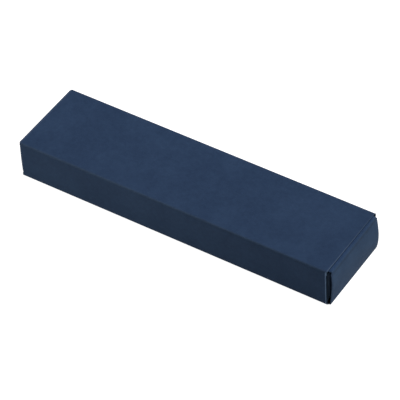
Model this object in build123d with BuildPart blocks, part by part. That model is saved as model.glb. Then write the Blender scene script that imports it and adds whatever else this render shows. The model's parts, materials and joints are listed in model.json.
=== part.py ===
from build123d import *
import os
from math import asin, cos, degrees, hypot, radians, sin, tan

# Slim folding carton with a tuck closure at each end, closed.
#
# The carton is one sheet of paperboard, cut and creased, with one glued seam. A sleeve of four
# panels runs along X. At each end two dust flaps fold in from the side walls, and a closure panel
# folds over them and tucks in with a tuck flap. The ends are reversed: the right closure hangs on
# the bottom panel and tucks under the top panel, and the left closure is the other way up.
#
# Origin: middle of the sleeve, on the surface that the carton rests on. +X runs along the carton to
# the right end, +Y to the back wall, +Z up. Millimetres.
#
# Each crease that moves is a bead of board on the crease line. The two panels that it joins stop
# a small gap short of it, so each can turn about the bead.

# ---- sleeve ----
box_length = 200.0       # between the outer faces of the folded dust flaps
box_width = 52.0         # over the side walls
box_height = 25.0        # over the top and bottom panels
board = 0.5              # paperboard thickness
bend_inside = 0.15       # inside radius of the four long creases
crease_gap = 0.11        # from a crease's bead to the panels that it joins
mouth_recess = 0.2       # edge that a tuck slips under, in from the end of the walls

# ---- closures ----
right_reach = 1.45       # outer face beyond the folded dust flaps, at the hinge
left_reach = 0.8
right_bow = 1.6          # how far the panel bulges out at half its height
left_bow = 0.25
closure_inset = 1.2      # side edge, in from the side wall's outer face
closure_corner = 1.0     # corner radius

# ---- tuck flaps ----
tuck_length = 12.0       # from the fold to the tip
tuck_shoulder = 0.8      # side edge, in from the closure's side edge
tuck_corner = 7.0        # corner radius at the tip
tuck_gap = 0.15          # under the panel that it slips below, at the fold
tuck_swing_gap = 0.5     # between the tip and the mouth's edge as the closure swings

# ---- dust flaps ----
dust_length = 20.0       # from the crease to the free end
right_dust_spring = 3.0  # degrees that the folded flaps spring back outwards
left_dust_spring = 0.3
dust_foot = 1.5          # flap's edge above the closure's hinge panel, at the crease
dust_taper = 26.0        # slope of that edge, degrees
dust_head = 2.7          # flap's other edge below the tuck's panel, at the crease
dust_head_taper = 3.0    # slope of that edge, degrees
dust_corner = 3.0        # corner radius at the free end
dust_notch_gap = 0.2     # wall's cut-out past each end of the crease

# ---- glued seam ----
glue_flap_width = 14.0   # height of the flap inside the back wall
glue_flap_setback = 6.0  # flap's end, in from the sleeve's end
glue_flap_taper = 30.0   # slope of the flap's ends, degrees
glue_film = 0.1          # adhesive thickness
glue_margin = 1.5        # bare strip around the adhesive

# ---- worked out ----
bead_radius = board / 2
panel_stop = bead_radius + crease_gap            # crease line to the edge of a hinged panel
bend_outside = board + bend_inside
half_length = box_length / 2
half_width = box_width / 2
closure_width = box_width - 2 * closure_inset
tuck_width = closure_width - 2 * tuck_shoulder
hinge_up = board / 2                             # closure's crease line
fold_up = box_height - board - tuck_gap - board / 2
closure_rise = fold_up - hinge_up
dust_line_out = -board / 2                       # dust flap's crease line, inside the wall's end
dust_line_side = half_width - board / 2
dust_top = box_height - dust_head
seam_face = half_width - board - glue_film       # glue flap's outer face
seam_bend_y = seam_face - bend_outside

os.makedirs("parts", exist_ok=True)


class End:
    """One end of the carton.

    Its frame has X out of the box, Y to the back, and Z from the panel that the closure hangs on
    to the panel that its tuck slips under.
    """

    def __init__(self, name, frame, reach, bow, dust_spring):
        self.name = name
        self.frame = frame
        self.dust_spring = radians(dust_spring)
        self.hinge_out = reach - board / 2               # closure's crease line
        self.panel_end = self.hinge_out - panel_stop     # end of the panel that it hangs on

        # The closure is a slice of a wide cylinder through both of its crease lines.
        self.bow_radius = (closure_rise**2 / 4 + bow**2) / (2 * bow)
        self.bow_centre = (self.hinge_out + bow - self.bow_radius, (hinge_up + fold_up) / 2)
        self.bow_spread = degrees(
            asin(closure_rise / 2 / self.bow_radius) - panel_stop / self.bow_radius
        )

        # The tuck leans in just far enough for its tip to pass the mouth's edge.
        mouth_radius = hypot(self.hinge_out + mouth_recess, box_height - board - hinge_up)
        tip_radius = mouth_radius - tuck_swing_gap - board / 2
        self.tuck_lean = asin(
            (closure_rise**2 + tuck_length**2 - tip_radius**2) / (2 * closure_rise * tuck_length)
        )

    def plane(self, origin, x_dir, z_dir):
        """A plane whose origin and directions are given in this end's frame."""
        def turned(direction):
            return self.frame.from_local_coords(Vector(*direction)) - self.frame.origin

        place = self.frame.from_local_coords(Vector(*origin))
        return Plane(origin=place, x_dir=turned(x_dir), z_dir=turned(z_dir))


right_end = End(
    "right",
    Plane(origin=(half_length, 0, 0), x_dir=(1, 0, 0), z_dir=(0, 0, 1)),
    right_reach,
    right_bow,
    right_dust_spring,
)
left_end = End(
    "left",
    Plane(origin=(-half_length, 0, box_height), x_dir=(-1, 0, 0), z_dir=(0, 0, -1)),
    left_reach,
    left_bow,
    left_dust_spring,
)


def make_main_panel(name, end, back_edge):
    """Top or bottom panel, drawn in the frame of the end whose closure hangs on it.

    A tongue at that end carries the closure's crease. The other end is the mouth's edge.
    """
    front_edge = -(half_width - bend_outside)
    with BuildPart() as panel:
        with BuildSketch(end.frame):
            with Locations((mouth_recess - box_length, front_edge)):
                Rectangle(
                    box_length - mouth_recess,
                    back_edge - front_edge,
                    align=(Align.MIN, Align.MIN),
                )
            Rectangle(2 * end.panel_end, min(closure_width, 2 * back_edge))
        extrude(amount=board)
    panel.part.label = name
    export_step(panel.part, f"parts/{name}.step")


def make_wall(name, back_face, foot):
    """Side wall, with a cut-out at each end where a dust flap's crease lies."""
    notch_depth = panel_stop - dust_line_out
    notch_height = dust_top - dust_foot + 2 * dust_notch_gap
    notch_middle = (dust_foot + dust_top) / 2
    with BuildPart() as wall:
        with BuildSketch(Plane.XZ.offset(-back_face)):
            with Locations((0, foot)):
                Rectangle(
                    box_length,
                    box_height - bend_outside - foot,
                    align=(Align.CENTER, Align.MIN),
                )
            with Locations((half_length, notch_middle), (-half_length, box_height - notch_middle)):
                Rectangle(2 * notch_depth, notch_height, mode=Mode.SUBTRACT)
        extrude(amount=board)
    wall.part.label = name
    export_step(wall.part, f"parts/{name}.step")


def make_long_crease(name, y_centre, z_centre, start_angle):
    """Quarter-round bend that joins two panels of the sleeve along the whole box."""
    with BuildPart() as crease:
        with BuildSketch(Plane.YZ):
            with BuildLine():
                centre = (y_centre, z_centre)
                outer = CenterArc(centre, bend_outside, start_angle, 90)
                inner = CenterArc(centre, bend_inside, start_angle, 90)
                Line(outer @ 0, inner @ 0)
                Line(outer @ 1, inner @ 1)
            make_face()
        extrude(amount=half_length, both=True)
    crease.part.label = name
    export_step(crease.part, f"parts/{name}.step")


def make_seam():
    """Glue flap, which stands up inside the back wall, and the film of adhesive on it."""
    with BuildPart() as flap:
        with BuildSketch(Plane.XZ.offset(-seam_face + board)):
            foot_half = half_length - glue_flap_setback
            head_half = foot_half - (glue_flap_width - bend_outside) * tan(radians(glue_flap_taper))
            with BuildLine():
                Polyline(
                    (-foot_half, bend_outside),
                    (foot_half, bend_outside),
                    (head_half, glue_flap_width),
                    (-head_half, glue_flap_width),
                    close=True,
                )
            make_face()
        extrude(amount=-board)
    flap.part.label = "glue_flap"
    export_step(flap.part, "parts/glue_flap.step")

    with BuildPart() as film:
        with BuildSketch(Plane.XZ.offset(-seam_face)):
            with Locations((0, (bend_outside + glue_flap_width) / 2)):
                Rectangle(
                    2 * (head_half - glue_margin),
                    glue_flap_width - bend_outside - 2 * glue_margin,
                )
        extrude(amount=-glue_film)
    film.part.label = "seam_glue_line"
    export_step(film.part, "parts/seam_glue_line.step")


def make_bead(name, plane, length):
    """Crease that moves: a bead of board centred on the plane's origin, along its normal."""
    with BuildPart() as bead:
        with BuildSketch(plane):
            Circle(bead_radius)
        extrude(amount=length / 2, both=True)
    bead.part.label = name
    export_step(bead.part, f"parts/{name}.step")


def make_closure(end):
    """End panel, bowed outwards between its hinge crease and its tuck crease."""
    spread = end.bow_spread
    with BuildPart() as closure:
        with BuildSketch(end.plane((0, 0, 0), (1, 0, 0), (0, -1, 0))):
            with BuildLine():
                outer = CenterArc(end.bow_centre, end.bow_radius + board / 2, -spread, 2 * spread)
                inner = CenterArc(end.bow_centre, end.bow_radius - board / 2, -spread, 2 * spread)
                Line(outer @ 0, inner @ 0)
                Line(outer @ 1, inner @ 1)
            make_face()
        extrude(amount=closure_width / 2, both=True)
        corners = closure.edges().filter_by(lambda edge: abs(edge.length - board) < board / 100)
        fillet(corners, radius=closure_corner)
    closure.part.label = f"{end.name}_closure_panel"
    export_step(closure.part, f"parts/{end.name}_closure_panel.step")


def make_tuck(end):
    """Tuck flap, which leans from the fold into the box below the panel that holds it."""
    along = (-cos(end.tuck_lean), 0, -sin(end.tuck_lean))
    outwards = (-sin(end.tuck_lean), 0, cos(end.tuck_lean))
    with BuildPart() as tuck:
        with BuildSketch(end.plane((end.hinge_out, 0, fold_up), along, outwards)) as outline:
            with Locations((panel_stop, 0)):
                Rectangle(tuck_length - panel_stop, tuck_width, align=(Align.MIN, Align.CENTER))
            fillet(outline.vertices().group_by(Axis.X)[-1], radius=tuck_corner)
        extrude(amount=board / 2, both=True)
    tuck.part.label = f"{end.name}_tuck_flap"
    export_step(tuck.part, f"parts/{end.name}_tuck_flap.step")


def make_dust_flap(end, side, side_sign):
    """Dust flap, folded across the end from one side wall and sprung back a little."""
    inwards = -side_sign
    along = (sin(end.dust_spring), inwards * cos(end.dust_spring), 0)
    normal = (inwards * cos(end.dust_spring), -sin(end.dust_spring), 0)
    line = (dust_line_out, side_sign * dust_line_side, 0)
    run = dust_length - panel_stop
    end_low = dust_foot + run * tan(radians(dust_taper))
    end_high = dust_top - run * tan(radians(dust_head_taper))
    corner = min(dust_corner, 0.45 * (end_high - end_low))
    with BuildPart() as flap:
        with BuildSketch(end.plane(line, along, normal)) as outline:
            with BuildLine():
                Polyline(
                    (panel_stop, dust_foot),
                    (dust_length, end_low),
                    (dust_length, end_high),
                    (panel_stop, dust_top),
                    close=True,
                )
            make_face()
            fillet(outline.vertices().group_by(Axis.X)[-1], radius=corner)
        extrude(amount=board / 2, both=True)
    flap.part.label = f"{end.name}_{side}_dust_flap"
    export_step(flap.part, f"parts/{end.name}_{side}_dust_flap.step")


# ---- sleeve: four panels, four long creases and the glued seam ----
bend_y = half_width - bend_outside
bend_top = box_height - bend_outside
make_main_panel("top_panel", left_end, bend_y)
make_main_panel("bottom_panel", right_end, seam_bend_y)
make_wall("front_wall", -half_width + board, foot=bend_outside)
make_wall("back_wall", half_width, foot=0)
make_long_crease("top_front_crease", -bend_y, bend_top, 90)
make_long_crease("top_back_crease", bend_y, bend_top, 0)
make_long_crease("bottom_front_crease", -bend_y, bend_outside, 180)
make_long_crease("glue_flap_crease", seam_bend_y, bend_outside, 270)
make_seam()

# ---- ends: closure, tuck and two dust flaps, each with its crease ----
for end in (right_end, left_end):
    hinge_plane = end.plane((end.hinge_out, 0, hinge_up), (1, 0, 0), (0, 1, 0))
    fold_plane = end.plane((end.hinge_out, 0, fold_up), (1, 0, 0), (0, 1, 0))
    make_bead(f"{end.name}_closure_crease", hinge_plane, closure_width)
    make_closure(end)
    make_bead(f"{end.name}_tuck_crease", fold_plane, tuck_width)
    make_tuck(end)
    for side, side_sign in (("front", -1), ("back", 1)):
        dust_middle = (dust_foot + dust_top) / 2
        line_middle = (dust_line_out, side_sign * dust_line_side, dust_middle)
        dust_plane = end.plane(line_middle, (1, 0, 0), (0, 0, 1))
        make_bead(f"{end.name}_{side}_dust_crease", dust_plane, dust_top - dust_foot)
        make_dust_flap(end, side, side_sign)
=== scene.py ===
import json
import math

import bmesh
import bpy
from mathutils import Matrix, Vector


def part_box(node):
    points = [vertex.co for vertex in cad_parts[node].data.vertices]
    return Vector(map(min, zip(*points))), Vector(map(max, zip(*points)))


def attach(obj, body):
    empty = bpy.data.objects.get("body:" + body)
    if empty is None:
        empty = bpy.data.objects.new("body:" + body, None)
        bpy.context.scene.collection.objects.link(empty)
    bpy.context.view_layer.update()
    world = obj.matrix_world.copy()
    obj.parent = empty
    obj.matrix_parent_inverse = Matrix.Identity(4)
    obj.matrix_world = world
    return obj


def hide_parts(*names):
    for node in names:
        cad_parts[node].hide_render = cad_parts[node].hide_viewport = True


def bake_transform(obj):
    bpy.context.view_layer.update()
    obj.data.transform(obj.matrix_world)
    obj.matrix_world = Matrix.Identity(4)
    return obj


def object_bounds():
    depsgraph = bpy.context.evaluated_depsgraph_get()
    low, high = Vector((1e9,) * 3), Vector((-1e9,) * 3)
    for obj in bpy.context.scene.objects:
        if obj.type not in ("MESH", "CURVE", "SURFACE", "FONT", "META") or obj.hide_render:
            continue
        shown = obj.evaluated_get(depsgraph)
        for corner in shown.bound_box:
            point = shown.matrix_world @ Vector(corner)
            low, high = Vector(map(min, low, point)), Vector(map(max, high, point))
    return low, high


# Slim tuck-end carton in dark blue uncoated board. Each board is cut flat with its own outline,
# ruled into a fine grid, folded along its path, and given its thickness by one node tree.
# Metres throughout. The carton stands on z = 0, with its length along x.

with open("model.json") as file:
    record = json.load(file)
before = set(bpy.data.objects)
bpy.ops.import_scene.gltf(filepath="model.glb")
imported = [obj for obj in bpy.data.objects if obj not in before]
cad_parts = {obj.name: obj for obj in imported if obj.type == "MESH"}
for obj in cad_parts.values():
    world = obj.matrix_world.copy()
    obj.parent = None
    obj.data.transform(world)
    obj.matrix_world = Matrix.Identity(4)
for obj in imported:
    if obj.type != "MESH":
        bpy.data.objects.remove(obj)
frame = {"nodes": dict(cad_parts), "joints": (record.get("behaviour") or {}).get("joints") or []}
cad_low, cad_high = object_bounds()
joints = {joint["name"]: joint for joint in frame["joints"]}

MM = 0.001
RIGHT_ANGLE = math.radians(90)
WELD = 1e-7                   # points closer than this are one point
CLEAR = 1e-6                  # a ruled line stays this far from a blank's own ends

# ---- sizes read from the frame ----
top_low, top_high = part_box("top_panel")
bottom_low, bottom_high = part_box("bottom_panel")
BOARD = top_high.z - top_low.z
HEIGHT = top_high.z
HALF_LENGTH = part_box("front_wall")[1].x
HALF_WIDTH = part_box("back_wall")[1].y
GLUE_FLAP_HALF, GLUE_FLAP_FACE, GLUE_FLAP_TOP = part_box("glue_flap")[1]
crease_low, crease_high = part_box("top_front_crease")
GLUE_BEND = crease_high.z - crease_low.z - BOARD / 2     # radius of the glue flap's crease

# ---- sizes of the board's finer shape ----
SOFT_BEND = 1.0 * MM          # the top front crease is rounder than the others
TIGHT_BEND = 0.26 * MM        # the top back and bottom front creases are pressed sharp
END_BEND = 0.34 * MM          # radius of a flap crease's middle line
STRIP_REACH = 0.75 * MM       # how far a crease's strip of board reaches onto each panel
CREASE_REACH = 0.36 * MM      # from a dust crease's line to the board on either side of it
NOTCH_GAP = 0.2 * MM          # how far a wall's notch runs past the dust crease in it
SHOULDER = 0.4 * MM           # least width of panel beside the tongue that carries a closure
TUCK_SETTLE = 2.3 * MM        # how far from its fold a tuck comes down to its resting slope
CLOSURE_CORNER = 0.8 * MM
TUCK_CORNER = 7 * MM
DUST_CORNER = 3 * MM
DUST_LOW_TAPER = math.radians(26)
DUST_HIGH_TAPER = math.radians(3)
GLUE_TAPER = math.radians(30)
EDGE_EASE = 0.035 * MM        # rounding of a cut edge
CUT_ANGLE = math.radians(60)  # edges that turn more than this are cut edges
CRISP_ANGLE = math.radians(38)

# A dust flap dips in beside its crease and springs out towards its free edge:
# (share of its reach, share of the dip, share of the spring).
DUST_PROFILE = ((0.07, -1.0, 0.0), (0.13, -0.4, 0.0), (0.40, 0.0, 0.55), (1.0, 0.0, 1.0))

# ---- grid that each board is ruled into: spacing along its fold path and across it ----
SLEEVE_GRID = (3 * MM, 4 * MM)
CLOSURE_GRID = (1 * MM, 2 * MM)
DUST_GRID = (1.5 * MM, 2 * MM)
END_LINES = [step * MM for step in (0.2, 0.5, 0.8, 1.1, 1.4, 1.7, 2.3)]     # from a wall's end

# ---- how far from its creases and its ends a panel's slack grows to full ----
SLEEVE_SLACK = (9 * MM, 18 * MM)
CLOSURE_SLACK = (5 * MM, 6 * MM)
CLOSURE_EDGE_SLACK = 0.3      # share of the slack that is left at a closure's side edges


def smooth(value):
    """Eases 0 to 1, flat outside that range."""
    value = min(max(value, 0.0), 1.0)
    return value * value * (3 - 2 * value)


def lerp(start, end, share):
    return start + (end - start) * share


class Stripe:
    """A line along a crease or an edge: its strength, how far its middle is from the crease, and
    how far it fades out on either side."""

    def __init__(self, strength, centre, reach):
        self.strength = strength
        self.centre = centre
        self.reach = reach

    def at(self, distance):
        return self.strength * smooth(1 - abs(distance - self.centre) / self.reach)


# ---- where the dye is rubbed pale, and where light and shade are painted beside the creases ----
CREST_RUB = Stripe(0.25, 0.0, 0.9 * MM)               # on the long creases
MOUTH_RUB_AND_HIGHLIGHT = Stripe(0.60, -0.1 * MM, 0.6 * MM)         # on the sleeve's two ends: rubbed dye, raised as a painted highlight against the shade of the mouth's groove
WALL_HIGHLIGHT = Stripe(1.0, -0.65 * MM, 0.5 * MM)        # painted highlight on a wall beside its right dust flap, where light catches the fold
HINGE_RUB = Stripe(0.42, 0.0, 0.7 * MM)               # on a closure's hinge crease
FOLD_SHADE = Stripe(0.26, -1.6 * MM, 1.4 * MM)        # painted shade on a closure below its tuck's fold, standing in for the score's groove
FOLD_HIGHLIGHT = Stripe(0.90, 1.0 * MM, 0.9 * MM)           # painted light on a tuck beside its fold, lifting the shade of the groove
DUST_HIGHLIGHT = Stripe(1.0, -0.35 * MM, 0.35 * MM)       # painted highlight on a dust flap's crease, where light catches the fold
DUST_SHADE = Stripe(0.8, 0.5 * MM, 0.8 * MM)          # painted shade on a dust flap close to its crease, in the closure's shadow
DUST_LIT_STRIP = Stripe(0.9, 2.2 * MM, 0.8 * MM)            # painted light on a dust flap further along, where light reaches past the closure


# ---------------------------------------------------------------- folding a board

class FoldPath:
    """The middle line of a folded board in one plane: straight runs with rounded creases.

    Each corner is a (x, y, radius). A point on the path is found by its distance along it.
    """

    ARC_STEPS = 10

    def __init__(self, corners):
        self.points = []
        rounded_at = []                   # index of the middle point of each rounded crease
        for index, (x, y, radius) in enumerate(corners):
            corner = Vector((x, y))
            if radius and 0 < index < len(corners) - 1:
                back = (Vector(corners[index - 1][:2]) - corner).normalized()
                ahead = (Vector(corners[index + 1][:2]) - corner).normalized()
                rounded_at.append(len(self.points) + self.ARC_STEPS // 2)
                self.points += self._bend(corner, back, ahead, radius)
            else:
                self.points.append(corner)
        self.distances = [0.0]
        for start, end in zip(self.points, self.points[1:]):
            self.distances.append(self.distances[-1] + (end - start).length)
        self.creases = [self.distances[index] for index in rounded_at]
        self.length = self.distances[-1]

    def _bend(self, corner, back, ahead, radius):
        """Points round one corner, between the directions back and ahead of it."""
        half = math.acos(max(-1.0, min(1.0, back.dot(ahead)))) / 2
        reach = radius / math.tan(half)
        centre = corner + (back + ahead).normalized() * (radius / math.sin(half))
        start = corner + back * reach - centre
        turn = math.pi - 2 * half
        side = 1 if back.x * ahead.y - back.y * ahead.x < 0 else -1
        points = []
        for step in range(self.ARC_STEPS + 1):
            angle = side * turn * step / self.ARC_STEPS
            cosine, sine = math.cos(angle), math.sin(angle)
            points.append(centre + Vector((
                cosine * start.x - sine * start.y,
                sine * start.x + cosine * start.y,
            )))
        return points

    def point(self, distance):
        if distance <= 0:
            return self.points[0] + (self.points[1] - self.points[0]).normalized() * distance
        if distance >= self.length:
            last = (self.points[-1] - self.points[-2]).normalized()
            return self.points[-1] + last * (distance - self.length)
        low, high = 0, len(self.distances) - 1
        while high - low > 1:
            middle = (low + high) // 2
            if self.distances[middle] <= distance:
                low = middle
            else:
                high = middle
        run = self.distances[high] - self.distances[low]
        share = (distance - self.distances[low]) / run if run else 0.0
        return lerp(self.points[low], self.points[high], share)


def ruled(low, high, spacing):
    """Evenly spaced values strictly between two limits, about spacing apart."""
    count = max(1, round((high - low) / spacing))
    return [lerp(low, high, step / count) for step in range(1, count)]


def crease_lines(distances, reach=0.8 * MM, lines=9):
    """Close lines across each crease, so that the board bends there smoothly."""
    offsets = [lerp(-reach, reach, step / (lines - 1)) for step in range(lines)]
    return [distance + offset for distance in distances for offset in offsets]


def lines_along(outline, creases, spacing):
    """Where a blank is ruled along its path: close at its creases and even between its ends."""
    low = min(x for x, y in outline)
    high = max(x for x, y in outline)
    lines = crease_lines(creases) + ruled(low, high, spacing)
    return [line for line in lines if low + CLEAR < line < high - CLEAR]


def arc(centre, radius, start, turn, steps=8):
    """Points round an outline's corner, from one angle through a turn."""
    angles = [start + turn * step / steps for step in range(steps + 1)]
    return [
        (centre[0] + radius * math.cos(angle), centre[1] + radius * math.sin(angle))
        for angle in angles
    ]


def cut_blank(name, outline, along_lines, across_lines):
    """A flat board with this outline, cut into a grid. X is along the fold path, Y across it."""
    sheet = bmesh.new()
    sheet.faces.new([sheet.verts.new((x, y, 0)) for x, y in outline])
    for lines, normal in ((along_lines, (1, 0, 0)), (across_lines, (0, 1, 0))):
        for value in sorted(set(lines)):
            bmesh.ops.bisect_plane(
                sheet,
                geom=sheet.verts[:] + sheet.edges[:] + sheet.faces[:],
                dist=WELD,
                plane_co=Vector(normal) * value,
                plane_no=normal,
            )
    mesh = bpy.data.meshes.new(name)
    sheet.to_mesh(mesh)
    sheet.free()
    return mesh


def fold(mesh, place, **qualities):
    """Bends a flat board: place gives each point, and each quality fills an attribute."""
    flat = [(vertex.co.x, vertex.co.y) for vertex in mesh.vertices]
    for name, quality in qualities.items():
        layer = mesh.attributes.new(name, "FLOAT", "POINT")
        layer.data.foreach_set("value", [quality(along, across) for along, across in flat])
    for vertex, (along, across) in zip(mesh.vertices, flat):
        vertex.co = place(along, across)
    mesh.update()


# ---------------------------------------------------------------- node graphs

class Wire:
    """One output of a node. Arithmetic on it adds Math nodes to its graph."""

    def __init__(self, graph, socket):
        self.graph = graph
        self.socket = socket

    def output(self, name):
        return Wire(self.graph, self.socket.node.outputs[name])

    def _maths(self, operation, first, second):
        return self.graph.node("ShaderNodeMath", {"operation": operation}, first, second)

    def __add__(self, other):
        return self._maths("ADD", self, other)

    def __radd__(self, other):
        return self._maths("ADD", other, self)

    def __sub__(self, other):
        return self._maths("SUBTRACT", self, other)

    def __rsub__(self, other):
        return self._maths("SUBTRACT", other, self)

    def __mul__(self, other):
        return self._maths("MULTIPLY", self, other)

    def __rmul__(self, other):
        return self._maths("MULTIPLY", other, self)

    def __truediv__(self, other):
        return self._maths("DIVIDE", self, other)

    def __rtruediv__(self, other):
        return self._maths("DIVIDE", other, self)


class Graph:
    """A node tree that is filled through one method."""

    def __init__(self, tree):
        self.tree = tree

    def node(self, kind, settings=None, *values, **named):
        """Adds a node: its settings first, then its inputs, in order or by name.

        An input takes a value, a wire, or a list of wires where it joins several.
        """
        made = self.tree.nodes.new(kind)
        for key, value in (settings or {}).items():
            setattr(made, key, value)
        inputs = list(zip((socket for socket in made.inputs if socket.enabled), values))
        inputs += [(made.inputs[name.replace("_", " ")], value) for name, value in named.items()]
        for socket, value in inputs:
            for wire in value if isinstance(value, list) else [value]:
                if isinstance(wire, Wire):
                    self.tree.links.new(wire.socket, socket)
                else:
                    socket.default_value = wire
        output = next((socket for socket in made.outputs if socket.enabled), None)
        return Wire(self, output) if output else None


def new_material(name):
    material = bpy.data.materials.new(name)
    material.use_nodes = True
    material.node_tree.nodes.clear()
    return material, Graph(material.node_tree)


def noise(graph, point, size, detail=3.0, roughness=0.55, stretch=(1, 1, 1)):
    """Noise of a given feature size in metres, 0 to 1. Stretch makes the features longer."""
    scaled = graph.node(
        "ShaderNodeMapping",
        None,
        point,
        Scale=tuple(1 / (size * factor) for factor in stretch),
    )
    return graph.node(
        "ShaderNodeTexNoise",
        {"noise_dimensions": "3D"},
        Vector=scaled,
        Scale=1.0,
        Detail=detail,
        Roughness=roughness,
    )


def spread(graph, value, low, high):
    """Stretches the useful middle of a noise to 0..1."""
    return graph.node(
        "ShaderNodeMapRange",
        {"interpolation_type": "SMOOTHSTEP"},
        value,
        low,
        high,
        0.0,
        1.0,
    )


def mixed(graph, share, first, second):
    """The first colour where the share is 0, the second where it is 1."""
    return graph.node("ShaderNodeMix", {"data_type": "RGBA"}, share, first, second)


# ---------------------------------------------------------------- finishes

# Dyed uncoated board. The dye is a deep blue, and it is thinner where the fibres stand up.
DYE_DEEP = (0.0062, 0.0165, 0.0400, 1)
DYE_PALE = (0.0130, 0.0290, 0.0620, 1)
# Colour of rubbed dye, also used for the painted highlights beside some creases.
DYE_WORN_AND_HIGHLIGHT = (0.0590, 0.0880, 0.1360, 1)
DYE_CUT = (0.0260, 0.0450, 0.0800, 1)
GLUE_DULL = (0.62, 0.60, 0.52, 1)
GLUE_PALE = (0.80, 0.79, 0.72, 1)


def board_material(name, cut_edge):
    """Matt dyed board: cloudy formation, felted fibres, flecks, worn creases and edges, and painted
    light and shade beside some creases.
    """
    material, graph = new_material(name)
    point = graph.node("ShaderNodeTexCoord").output("Object")

    cloud = spread(graph, noise(graph, point, 17 * MM, detail=2.0), 0.30, 0.70)
    clumps = noise(graph, point, 2.6 * MM, detail=4.0, roughness=0.6)
    formation = spread(graph, clumps, 0.28, 0.72)
    fibre_long = noise(graph, point, 0.34 * MM, detail=3.0, stretch=(5.0, 1.0, 1.0))
    fibre_cross = noise(graph, point, 0.30 * MM, detail=3.0, stretch=(1.0, 4.0, 4.0))
    felt = spread(graph, (fibre_long + fibre_cross) * 0.5, 0.36, 0.64)
    fleck = spread(graph, noise(graph, point, 0.75 * MM, detail=1.0), 0.70, 0.78)

    thinness = 0.30 * cloud + 0.28 * formation + 0.42 * felt
    dyed = mixed(graph, thinness, DYE_DEEP, DYE_PALE)
    # The wear attribute holds rubbed dye at creases and edges, together with painted highlights
    # where light catches some folds.
    wear = graph.node("ShaderNodeAttribute", {"attribute_name": "wear"}).output("Fac")
    rub_and_highlight = wear * (0.55 + 0.45 * felt)
    worn_and_highlit = mixed(graph, rub_and_highlight + 0.10 * fleck, dyed, DYE_CUT if cut_edge else DYE_WORN_AND_HIGHLIGHT)
    # The tone attribute is painted light and shade: it brightens or darkens the colour beside some
    # creases, standing in for highlights and groove shadows.
    tone = graph.node("ShaderNodeAttribute", {"attribute_name": "tone"}).output("Fac")
    colour = graph.node("ShaderNodeVectorMath", {"operation": "SCALE"}, worn_and_highlit, Scale=tone)
    if cut_edge:
        layers = noise(graph, point, 0.11 * MM, detail=2.0, stretch=(9.0, 9.0, 1.0))
        colour = mixed(graph, spread(graph, layers, 0.35, 0.65), colour, DYE_CUT)

    relief = 0.62 * felt + 0.25 * formation + 0.13 * cloud
    shader = graph.node(
        "ShaderNodeBsdfPrincipled",
        None,
        Base_Color=colour,
        Roughness=0.80 + 0.10 * felt - 0.05 * rub_and_highlight,
        Specular_IOR_Level=0.10,
        Normal=graph.node(
            "ShaderNodeBump", None, Strength=0.32, Distance=0.06 * MM, Height=relief
        ),
    )
    graph.node("ShaderNodeOutputMaterial", None, shader)
    return material


def glue_material():
    """Dried white carton glue, a little glossy and uneven."""
    material, graph = new_material("dried_glue")
    point = graph.node("ShaderNodeTexCoord").output("Object")
    streaks = noise(graph, point, 2.5 * MM, detail=3.0, stretch=(6.0, 1.0, 1.0))
    shader = graph.node(
        "ShaderNodeBsdfPrincipled",
        None,
        Base_Color=mixed(graph, streaks, GLUE_DULL, GLUE_PALE),
        Roughness=0.35 + 0.2 * streaks,
        Normal=graph.node(
            "ShaderNodeBump", None, Strength=0.3, Distance=0.05 * MM, Height=streaks
        ),
    )
    graph.node("ShaderNodeOutputMaterial", None, shader)
    return material


BOARD_FACE = board_material("dyed_board", cut_edge=False)
BOARD_EDGE = board_material("board_cut_edge", cut_edge=True)
GLUE = glue_material()


# ---------------------------------------------------------------- board thickness

def board_stock_tree():
    """Node tree that turns a folded middle surface into board: slack waves, then thickness."""
    tree = bpy.data.node_groups.new("board_stock", "GeometryNodeTree")
    face = tree.interface
    face.new_socket("Geometry", in_out="INPUT", socket_type="NodeSocketGeometry")
    for label in ("Board", "Wave Height", "Wave Size", "Seed"):
        face.new_socket(label, in_out="INPUT", socket_type="NodeSocketFloat")
    for label in ("Face Finish", "Edge Finish"):
        face.new_socket(label, in_out="INPUT", socket_type="NodeSocketMaterial")
    face.new_socket("Geometry", in_out="OUTPUT", socket_type="NodeSocketGeometry")

    graph = Graph(tree)
    given = graph.node("NodeGroupInput")
    board = given.output("Board")
    normal = graph.node("GeometryNodeInputNormal")
    slack = graph.node("GeometryNodeInputNamedAttribute", {"data_type": "FLOAT"}, "slack")
    waves = graph.node(
        "ShaderNodeTexNoise",
        {"noise_dimensions": "4D"},
        Vector=graph.node("GeometryNodeInputPosition"),
        W=given.output("Seed"),
        Scale=1.0 / given.output("Wave Size"),
        Detail=1.5,
    )

    def moved(surface, distance):
        """The surface pushed along its own normals."""
        push = graph.node("ShaderNodeVectorMath", {"operation": "SCALE"}, normal, Scale=distance)
        return graph.node("GeometryNodeSetPosition", None, surface, Offset=push)

    inwards = (waves - 1.0) * given.output("Wave Height") * slack
    inner = moved(moved(given.output("Geometry"), inwards), board * -0.5)
    raised = graph.node(
        "GeometryNodeExtrudeMesh",
        {"mode": "FACES"},
        inner,
        Offset_Scale=board,
        Individual=False,
    )
    flipped = graph.node("GeometryNodeFlipFaces", None, inner)
    joined = graph.node("GeometryNodeJoinGeometry", None, [raised, flipped])
    closed = graph.node("GeometryNodeMergeByDistance", None, joined, Distance=WELD)
    solid = graph.node("GeometryNodeRealizeInstances", None, closed)
    faced = graph.node("GeometryNodeSetMaterial", None, solid, Material=given.output("Face Finish"))
    edged = graph.node(
        "GeometryNodeSetMaterial",
        None,
        faced,
        Selection=raised.output("Side"),
        Material=given.output("Edge Finish"),
    )
    graph.node("NodeGroupOutput", None, edged)
    return tree


BOARD_STOCK = board_stock_tree()


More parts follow.
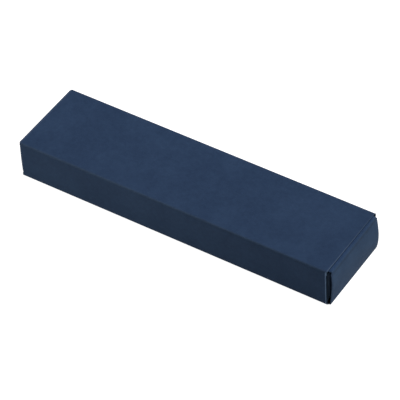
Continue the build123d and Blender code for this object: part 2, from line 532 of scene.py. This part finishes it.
def make_board(name, mesh, wave_height=0.0, wave_size=30 * MM, seed=0.0):
    """Gives a folded middle surface its thickness and eased edges, as a plain mesh object."""
    mesh.materials.append(BOARD_FACE)
    raw = bpy.data.objects.new(name + "_raw", mesh)
    bpy.context.scene.collection.objects.link(raw)
    stock = raw.modifiers.new("stock", "NODES")
    stock.node_group = BOARD_STOCK
    wanted = {
        "Board": BOARD,
        "Wave Height": wave_height,
        "Wave Size": wave_size,
        "Seed": seed,
        "Face Finish": BOARD_FACE,
        "Edge Finish": BOARD_EDGE,
    }
    for socket in BOARD_STOCK.interface.items_tree:
        if socket.item_type == "SOCKET" and socket.in_out == "INPUT" and socket.name in wanted:
            stock[socket.identifier] = wanted[socket.name]
    ease = raw.modifiers.new("ease", "BEVEL")
    ease.limit_method = "ANGLE"
    ease.angle_limit = CUT_ANGLE
    ease.width = EDGE_EASE
    ease.segments = 2
    bpy.context.view_layer.update()
    made = bpy.data.meshes.new_from_object(
        raw.evaluated_get(bpy.context.evaluated_depsgraph_get())
    )
    made.name = name
    bpy.data.objects.remove(raw)
    bpy.data.meshes.remove(mesh)
    made.polygons.foreach_set("use_smooth", [True] * len(made.polygons))
    made.set_sharp_from_angle(angle=CRISP_ANGLE)
    piece = bpy.data.objects.new(name, made)
    bpy.context.scene.collection.objects.link(piece)
    return piece


# ---------------------------------------------------------------- the two ends

class CartonEnd:
    """One end's frame and sizes. Out is away from the box; up is from the panel that the closure
    hangs on to the panel that its tuck slips under."""

    BOW_STEPS = 24

    def __init__(
        self, name, out_sign, up_sign, *, skew, peaks, bows, reaches, fold_rise, fold_radius,
        mouth, dust_dip
    ):
        self.name = name
        self.out_sign = out_sign
        self.up_sign = up_sign
        self.origin = Vector((out_sign * HALF_LENGTH, 0, 0 if up_sign > 0 else HEIGHT))
        hinge = self.local(joints[f"{name}_closure_hinge"]["pos_m"])
        self.hinge_out, self.hinge_up = hinge.x, hinge.z
        self.fold_up = self.local(joints[f"{name}_tuck_hinge"]["pos_m"]).z
        self.half_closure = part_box(f"{name}_closure_panel")[1].y
        self.half_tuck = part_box(f"{name}_tuck_flap")[1].y
        tuck = [self.local(corner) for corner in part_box(f"{name}_tuck_flap")]
        depth = self.hinge_out - min(corner.x for corner in tuck)
        drop = self.fold_up - min(corner.z for corner in tuck) - BOARD / 2
        lean = math.atan2(drop, depth)
        self.along_tuck = Vector((-math.cos(lean), -math.sin(lean)))
        self.tuck_length = math.hypot(drop, depth)
        self.skew = skew              # (front, back) shift of the hinge and fold lines
        self.peaks = peaks            # (front, back) where the bow is largest, as a lean
        self.bows = bows              # (front, back) depth of the bow
        self.reaches = reaches        # (front, back) how far the fold stands out past the hinge
        self.fold_rise = fold_rise    # how far the fold's corner stands above its hinge line
        self.fold_radius = fold_radius
        self.mouth = mouth            # (front, back) setback of the mouth from the walls' ends
        self.dust_dip = dust_dip      # how far a dust flap dips in beside its crease
        self.chains = {}

    def local(self, point):
        """A point in this end's frame: out, y, up."""
        shift = Vector(point) - self.origin
        return Vector((shift.x * self.out_sign, shift.y, shift.z * self.up_sign))

    def world(self, out, y, up):
        return self.origin + Vector((out * self.out_sign, y, up * self.up_sign))

    def local_box(self, node):
        """Lowest and highest corner of a node in this end's frame."""
        first, second = (self.local(corner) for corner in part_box(node))
        return Vector(map(min, first, second)), Vector(map(max, first, second))

    def chain(self, y):
        """Path of the board at one y: hinge panel, closure's bow, fold and tuck."""
        key = round(y, 7)
        if key not in self.chains:
            self.chains[key] = self._chain_at(0.5 + 0.5 * y / self.half_closure)
        return self.chains[key]

    def _chain_at(self, share):
        """The path at a share of the way from the closure's front edge to its back edge."""
        shift, lean, bow, reach = (
            lerp(*pair, share) for pair in (self.skew, self.peaks, self.bows, self.reaches)
        )
        foot = Vector((self.hinge_out + shift, self.hinge_up))
        head = Vector((self.hinge_out + shift + reach, self.fold_up + self.fold_rise))
        # A lean moves the bow's peak and raises it, so the bow is scaled back to its own depth.
        depth = bow / (1 + lean**2 / 5)
        corners = [(self.hinge_out - 2 * STRIP_REACH, self.hinge_up, 0), (*foot, END_BEND)]
        for step in range(1, self.BOW_STEPS):
            part = step / self.BOW_STEPS
            hump = 4 * part * (1 - part) * (1 + lean * (2 * part - 1))
            place = foot.lerp(head, part)
            corners.append((place.x + depth * hump, place.y, 0))
        hinge_line = Vector((self.hinge_out, self.fold_up))
        return FoldPath([
            *corners,
            (*head, self.fold_radius),
            (*(hinge_line + self.along_tuck * TUCK_SETTLE), 0),
            (*(hinge_line + self.along_tuck * self.tuck_length), 0),
        ])


ENDS = (
    CartonEnd(
        "right", 1, 1,
        skew=(0.30 * MM, -0.35 * MM),
        peaks=(0.55, -0.35),
        bows=(0.93 * MM, 1.38 * MM),
        reaches=(0.45 * MM, 0.05 * MM),
        fold_rise=0.60 * MM,
        fold_radius=0.55 * MM,
        mouth=(0.0, -0.40 * MM),
        dust_dip=0.35 * MM,
    ),
    CartonEnd(
        "left", -1, -1,
        skew=(0.0, 0.0),
        peaks=(0.1, -0.1),
        bows=(0.25 * MM, 0.25 * MM),
        reaches=(0.0, 0.0),
        fold_rise=0.0,
        fold_radius=0.34 * MM,
        mouth=(-0.20 * MM, -0.20 * MM),
        dust_dip=0.0,
    ),
)


# ---------------------------------------------------------------- sleeve

def notch_heights(end, side):
    """Lowest and highest point of the notch that a dust flap's crease leaves in a wall."""
    low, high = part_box(f"{end.name}_{side}_dust_crease")
    return low.z - NOTCH_GAP, high.z + NOTCH_GAP


def notch_edge(start, finish):
    """A wall's end where it steps in behind a dust flap's crease."""
    cut = -(BOARD / 2 + CREASE_REACH)
    return [(start, 0.0), (start, cut), (finish, cut), (finish, 0.0)]


def panel_edge(end, start, finish, out):
    """A main panel's end: a mouth set back a little, or a tongue that carries a closure."""
    if out < 0:
        front_mouth, back_mouth = end.mouth
        return [(start, 0.0), (start, back_mouth), (finish, front_mouth), (finish, 0.0)]
    half = (finish - start) / 2
    side = half - min(end.half_closure, half - SHOULDER)
    hinge_edge = end.hinge_out - STRIP_REACH
    return [
        (start, 0.0),
        (start + side, 0.0),
        (start + side, hinge_edge),
        (finish - side, hinge_edge),
        (finish - side, 0.0),
        (finish, 0.0),
    ]


def sleeve_end(end, path):
    """Edge of the sleeve's blank at one end, as (distance, out from the walls' end)."""
    back_top, front_top, front_foot, back_foot = path.creases
    is_right = end.out_sign > 0
    top_out = (top_high.x if is_right else -top_low.x) - HALF_LENGTH
    bottom_out = (bottom_high.x if is_right else -bottom_low.x) - HALF_LENGTH
    down = front_top + (HEIGHT - BOARD / 2)
    front_low, front_high = notch_heights(end, "front")
    flap_low = back_foot + GLUE_BEND
    flap_out = GLUE_FLAP_HALF - HALF_LENGTH
    slope = (path.length - flap_low) * math.tan(GLUE_TAPER)
    return [
        (0.0, 0.0),
        *notch_edge(*notch_heights(end, "back")),
        *panel_edge(end, back_top, front_top, top_out),
        *notch_edge(down - front_high, down - front_low),
        *panel_edge(end, front_foot, back_foot, bottom_out),
        (flap_low, 0.0),
        (flap_low, flap_out),
        (path.length, flap_out - slope),
    ]


def sleeve_outline(path):
    """The sleeve's blank: along its left end and back along its right one. X is along the path
    that wraps the carton, Y runs along the carton."""
    right, left = ENDS
    outline = [(along, -HALF_LENGTH - out) for along, out in sleeve_end(left, path)]
    outline += [(along, HALF_LENGTH + out) for along, out in reversed(sleeve_end(right, path))]
    return outline


def make_sleeve():
    """Four panels, three long creases and the glue flap, folded from one board."""
    middle = BOARD / 2
    side = HALF_WIDTH - middle
    flap_side = GLUE_FLAP_FACE - middle
    path = FoldPath([
        (side, 0.0, 0),
        (side, HEIGHT - middle, TIGHT_BEND),
        (-side, HEIGHT - middle, SOFT_BEND),
        (-side, middle, TIGHT_BEND),
        (flap_side, middle, GLUE_BEND),
        (flap_side, GLUE_FLAP_TOP, 0),
    ])
    marks = path.creases
    outline = sleeve_outline(path)
    along_spacing, across_spacing = SLEEVE_GRID
    across_lines = ruled(-HALF_LENGTH, HALF_LENGTH, across_spacing)
    across_lines += [sign * (HALF_LENGTH - inset) for sign in (-1, 1) for inset in END_LINES]
    mesh = cut_blank("sleeve", outline, lines_along(outline, marks, along_spacing), across_lines)

    def place(along, across):
        point = path.point(along)
        return Vector((across, point.x, point.y))

    def painted_wall_highlight(along, across):
        """Painted highlight: a pale line on a wall beside the right dust flaps' creases, where
        light catches the fold.
        """
        on_wall = along < marks[0] or marks[1] < along < marks[2]
        return WALL_HIGHLIGHT.at(across - HALF_LENGTH) if on_wall else 0.0

    # Rubbed dye along the creases and ends, with painted highlights at the mouth and beside the
    # right dust flaps.
    def wear(along, across):
        crest = max(CREST_RUB.at(along - mark) for mark in marks[:3])
        return max(crest, MOUTH_RUB_AND_HIGHLIGHT.at(abs(across) - HALF_LENGTH), painted_wall_highlight(along, across))

    # Painted highlight: the wall's colour is brightened where the right dust flaps' folds catch the
    # light.
    def tone(along, across):
        return 1.0 + painted_wall_highlight(along, across)

    def slack(along, across):
        """None where the glue flap holds the back wall, and none at creases and ends."""
        from_crease = min(abs(along - mark) for mark in marks)
        from_end = HALF_LENGTH - abs(across)
        from_glue = along - GLUE_FLAP_TOP if along < marks[0] else from_crease
        if along > marks[3] or from_glue < 0:
            return 0.0
        crease_ease, end_ease = SLEEVE_SLACK
        return smooth(min(from_crease, from_glue) / crease_ease) * smooth(from_end / end_ease)

    fold(mesh, place, wear=wear, tone=tone, slack=slack)
    piece = make_board("sleeve", mesh, wave_height=0.22 * MM, wave_size=42 * MM, seed=3.0)
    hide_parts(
        "top_panel", "bottom_panel", "front_wall", "back_wall", "glue_flap",
        "top_front_crease", "top_back_crease", "bottom_front_crease", "glue_flap_crease",
    )
    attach(piece, "sleeve")


# ---------------------------------------------------------------- closures and tucks

def strip(low_x, high_x, half_y):
    """Outline of a straight strip of board."""
    return [(low_x, -half_y), (high_x, -half_y), (high_x, half_y), (low_x, half_y)]


def rounded(low_x, high_x, half_y, radius):
    """Outline from a straight edge at low_x to a far edge at high_x with rounded corners."""
    front_corner = arc((high_x - radius, radius - half_y), radius, -RIGHT_ANGLE, RIGHT_ANGLE)
    back_corner = arc((high_x - radius, half_y - radius), radius, 0.0, RIGHT_ANGLE)
    return [(low_x, -half_y), *front_corner, *back_corner, (low_x, half_y)]


def make_end_chain(end):
    """Closure and tuck with their two creases: four pieces that share one folded shape."""
    middle_path = end.chain(0.0)
    hinge_mark, fold_mark = middle_path.creases
    strip_start = STRIP_REACH
    closure_start = hinge_mark + STRIP_REACH
    closure_end = fold_mark - STRIP_REACH
    tuck_start = fold_mark + STRIP_REACH
    crease_ease, side_ease = CLOSURE_SLACK

    def place(along, across):
        """The same share of each stretch at every y, whatever that path's own length."""
        path = end.chain(across)
        own_hinge, own_fold = path.creases
        if along <= hinge_mark:
            share = (along - strip_start) / (hinge_mark - strip_start)
            distance = lerp(strip_start, own_hinge, share)
        elif along <= closure_start:
            distance = along - hinge_mark + own_hinge
        elif along >= closure_end:
            distance = along - fold_mark + own_fold
        else:
            share = (along - closure_start) / (closure_end - closure_start)
            distance = lerp(own_hinge + STRIP_REACH, own_fold - STRIP_REACH, share)
        point = path.point(distance)
        return end.world(point.x, across, point.y)

    def wear(along, across):
        return HINGE_RUB.at(along - hinge_mark)

    # Painted shade in the groove below the tuck's fold, and painted light on the tuck beside it.
    def tone(along, across):
        return 1.0 - FOLD_SHADE.at(along - fold_mark) + FOLD_HIGHLIGHT.at(along - fold_mark)

    def slack(along, across):
        from_hinge = smooth((along - closure_start) / crease_ease)
        from_fold = smooth((closure_end - along) / crease_ease)
        from_side = (end.half_closure - abs(across)) / side_ease
        return from_hinge * from_fold * smooth(from_side + CLOSURE_EDGE_SLACK)

    def board(name, outline, wave=0.0):
        along_spacing, across_spacing = CLOSURE_GRID
        along_lines = lines_along(outline, middle_path.creases, along_spacing)
        across_lines = ruled(-end.half_closure, end.half_closure, across_spacing)
        mesh = cut_blank(name, outline, along_lines, across_lines)
        mesh.flip_normals()
        fold(mesh, place, wear=wear, tone=tone, slack=slack)
        return make_board(name, mesh, wave_height=wave, wave_size=20 * MM, seed=7.0)

    name = end.name
    crease = board(f"{name}_closure_fold", strip(strip_start, closure_start, end.half_closure))
    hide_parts(f"{name}_closure_crease")
    end.world(end.hinge_out - 0.5 * STRIP_REACH, 0, end.hinge_up)
    end.world(end.hinge_out, 0, end.hinge_up + 0.5 * STRIP_REACH)
    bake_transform(crease)

    panel = board(
        f"{name}_closure",
        rounded(closure_start, closure_end, end.half_closure, CLOSURE_CORNER),
        wave=0.15 * MM,
    )
    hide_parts(f"{name}_closure_panel")
    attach(panel, f"{name}_closure")

    crease = board(f"{name}_tuck_fold", strip(closure_end, tuck_start, end.half_tuck))
    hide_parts(f"{name}_tuck_crease")
    end.world(end.hinge_out, 0, end.fold_up - 0.5 * STRIP_REACH)
    end.world(end.hinge_out - 0.5 * STRIP_REACH, 0, end.fold_up)
    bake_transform(crease)

    tuck = board(
        f"{name}_tuck",
        rounded(tuck_start, middle_path.length, end.half_tuck, TUCK_CORNER),
    )
    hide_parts(f"{name}_tuck_flap")
    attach(tuck, f"{name}_tuck")


# ---------------------------------------------------------------- dust flaps

def make_dust_flap(end, side):
    """Dust flap and its crease: a board that turns in from a side wall across the end."""
    side_sign = -1 if side == "front" else 1
    joint = end.local(joints[f"{end.name}_{side}_dust_hinge"]["pos_m"])
    flap_low, flap_high = end.local_box(f"{end.name}_{side}_dust_flap")
    crease_low, crease_high = end.local_box(f"{end.name}_{side}_dust_crease")
    foot, head = crease_low.z, crease_high.z
    reach = flap_high.y - flap_low.y + CREASE_REACH
    spring_out = flap_high.x - (joint.x + BOARD / 2)
    path = FoldPath([
        (joint.x - 2 * STRIP_REACH, 0.0, 0),
        (joint.x, 0.0, END_BEND),
        *(
            (joint.x + dip * end.dust_dip + spring * spring_out, share * reach, 0)
            for share, dip, spring in DUST_PROFILE
        ),
    ])
    mark = path.creases[0]
    strip_start = 2 * STRIP_REACH - CREASE_REACH
    flap_start = mark + STRIP_REACH
    rise = STRIP_REACH * math.tan(DUST_LOW_TAPER)
    fall = STRIP_REACH * math.tan(DUST_HIGH_TAPER)

    def place(along, across):
        point = path.point(along)
        return end.world(point.x, side_sign * (abs(joint.y) - point.y), across)

    # On a dust flap this holds only painted highlights: along its crease and on a strip further
    # along.
    def wear(along, across):
        return max(DUST_HIGHLIGHT.at(along - mark), DUST_LIT_STRIP.at(along - mark))

    # Painted light and shade: a highlight on the crease and shade close beside it.
    def tone(along, across):
        return 1.0 + DUST_HIGHLIGHT.at(along - mark) - DUST_SHADE.at(along - mark)

    def board(name, outline):
        along_spacing, across_spacing = DUST_GRID
        along_lines = lines_along(outline, [mark], along_spacing)
        mesh = cut_blank(name, outline, along_lines, ruled(foot, head, across_spacing))
        if side_sign > 0:
            mesh.flip_normals()
        fold(mesh, place, wear=wear, tone=tone)
        return make_board(name, mesh)

    name = f"{end.name}_{side}_dust"
    crease = board(
        f"{name}_fold",
        [
            (strip_start, foot),
            (mark, foot),
            (flap_start, foot + rise),
            (flap_start, head - fall),
            (mark, head),
            (strip_start, head),
        ],
    )
    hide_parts(f"{name}_crease")
    end.world(joint.x - 0.5 * STRIP_REACH, joint.y, 0)
    end.world(joint.x, joint.y - side_sign * 0.5 * STRIP_REACH, 0)
    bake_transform(crease)

    far_low = foot + (reach - CREASE_REACH) * math.tan(DUST_LOW_TAPER)
    far_high = head - (reach - CREASE_REACH) * math.tan(DUST_HIGH_TAPER)
    low_turn, high_turn = RIGHT_ANGLE - DUST_LOW_TAPER, RIGHT_ANGLE - DUST_HIGH_TAPER
    low_centre = far_low + DUST_CORNER * math.tan((RIGHT_ANGLE + DUST_LOW_TAPER) / 2)
    high_centre = far_high - DUST_CORNER * math.tan((RIGHT_ANGLE + DUST_HIGH_TAPER) / 2)
    far = path.length - DUST_CORNER
    flap = board(
        name,
        [
            (flap_start, foot + rise),
            *arc((far, low_centre), DUST_CORNER, -low_turn, low_turn),
            *arc((far, high_centre), DUST_CORNER, 0.0, high_turn),
            (flap_start, head - fall),
        ],
    )
    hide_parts(f"{name}_flap")
    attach(flap, name)


# ---------------------------------------------------------------- stage

CAMERA_ANGLES = (35.35, 44.25, -3.61)       # azimuth, elevation and roll, in degrees
CAMERA_DISTANCE = 1.5599
CAMERA_AIM = (0, -0.006, 0.010)
CAMERA_SHIFT = (0.00553, 0.00196)           # of the aim, to the right and up in the frame
CAMERA_LENS = 254.33
CAMERA_SENSOR = 36.0
CAMERA_RANGE = (0.05, 50.0)

FLOOR_HALF = 6.0
FLOOR_GAP = 0.02 * MM
FLOOR_COLOUR = (0.22, 0.22, 0.22, 1)
FLOOR_GLOW = 0.99              # the floor is an opal sheet lit from below, so no shadow shows on it
SKY = (1.0, 1.0, 1.0, 1)
SKY_STRENGTH = 0.12
SOFT_BOXES = {
    # name: (place, aim, width, height, watts, colour)
    "overhead": ((0.7, 1.2, 2.0), (0, 0, 0), 1.5, 1.5, 108.0, (1.06, 0.98, 1.01)),
    "end_card": ((1.2, 0.0, 0.45), (0.1, 0, 0.01), 0.9, 0.5, 8.0, (1.02, 1.14, 0.86)),
}
SNOOT_PLACE = (-0.7, -1.3, 0.6)
SNOOT_AIM = (-0.14, -0.02, 0.01)
SNOOT_CONE = math.radians(16)
SNOOT_RADIUS = 0.06
SNOOT_WATTS = 50.0
SNOOT_COLOUR = (1.15, 1.02, 0.88)


def make_camera():
    """Long lens, at the angle that shows the top, the front wall and the right closure."""
    azimuth, elevation, roll = (math.radians(angle) for angle in CAMERA_ANGLES)
    back = Vector((
        math.sin(azimuth) * math.cos(elevation),
        -math.cos(azimuth) * math.cos(elevation),
        math.sin(elevation),
    ))
    right = Vector((0, 0, 1)).cross(back).normalized()
    above = back.cross(right)
    cosine, sine = math.cos(roll), math.sin(roll)
    turned_right = cosine * right + sine * above
    turned_above = -sine * right + cosine * above
    shift_right, shift_above = CAMERA_SHIFT
    aim = Vector(CAMERA_AIM) + shift_right * turned_right + shift_above * turned_above
    data = bpy.data.cameras.new("camera")
    data.sensor_width = CAMERA_SENSOR
    data.lens = CAMERA_LENS
    data.clip_start, data.clip_end = CAMERA_RANGE
    camera = bpy.data.objects.new("camera", data)
    turn = Matrix((turned_right, turned_above, back)).transposed()
    camera.matrix_world = Matrix.Translation(aim + back * CAMERA_DISTANCE) @ turn.to_4x4()
    bpy.context.scene.collection.objects.link(camera)
    bpy.context.scene.camera = camera


def make_floor():
    """Plain white floor."""
    mesh = bpy.data.meshes.new("floor")
    low, high = -FLOOR_HALF, FLOOR_HALF
    level = cad_low.z - FLOOR_GAP
    corners = [(low, low, level), (high, low, level), (high, high, level), (low, high, level)]
    mesh.from_pydata(corners, [], [(0, 1, 2, 3)])
    floor = bpy.data.objects.new("floor", mesh)
    bpy.context.scene.collection.objects.link(floor)
    material, graph = new_material("floor")
    shader = graph.node(
        "ShaderNodeBsdfPrincipled",
        None,
        Base_Color=FLOOR_COLOUR,
        Roughness=0.9,
        Specular_IOR_Level=0.0,
        Emission_Color=(1.0, 1.0, 1.0, 1),
        Emission_Strength=FLOOR_GLOW,
    )
    graph.node("ShaderNodeOutputMaterial", None, shader)
    mesh.materials.append(material)


def new_light(name, kind, place, aim, watts, colour):
    """A light at a place, turned towards its aim. Returns its data."""
    data = bpy.data.lights.new(name, kind)
    data.energy = watts
    data.color = colour
    light = bpy.data.objects.new(name, data)
    light.location = place
    light.rotation_euler = (Vector(aim) - Vector(place)).to_track_quat("-Z", "Y").to_euler()
    bpy.context.scene.collection.objects.link(light)
    return data


def make_lights():
    """Soft box above and behind, a low card by the closure and a snoot on the left end."""
    world = bpy.data.worlds.new("studio")
    bpy.context.scene.world = world
    world.use_nodes = True
    background = world.node_tree.nodes["Background"]
    background.inputs["Color"].default_value = SKY
    background.inputs["Strength"].default_value = SKY_STRENGTH
    for name, (place, aim, width, height, watts, colour) in SOFT_BOXES.items():
        box = new_light(name, "AREA", place, aim, watts, colour)
        box.shape = "RECTANGLE"
        box.size, box.size_y = width, height
    snoot = new_light("snoot", "SPOT", SNOOT_PLACE, SNOOT_AIM, SNOOT_WATTS, SNOOT_COLOUR)
    snoot.spot_size = SNOOT_CONE
    snoot.spot_blend = 1.0
    snoot.shadow_soft_size = SNOOT_RADIUS
    bpy.context.scene.view_settings.view_transform = "Standard"


# ---------------------------------------------------------------- make it all

make_camera()
make_floor()
make_lights()
make_sleeve()
for carton_end in ENDS:
    make_end_chain(carton_end)
    for wall_side in ("front", "back"):
        make_dust_flap(carton_end, wall_side)

glue_line = frame["nodes"]["seam_glue_line"]
glue_line.data.materials.clear()
glue_line.data.materials.append(GLUE)
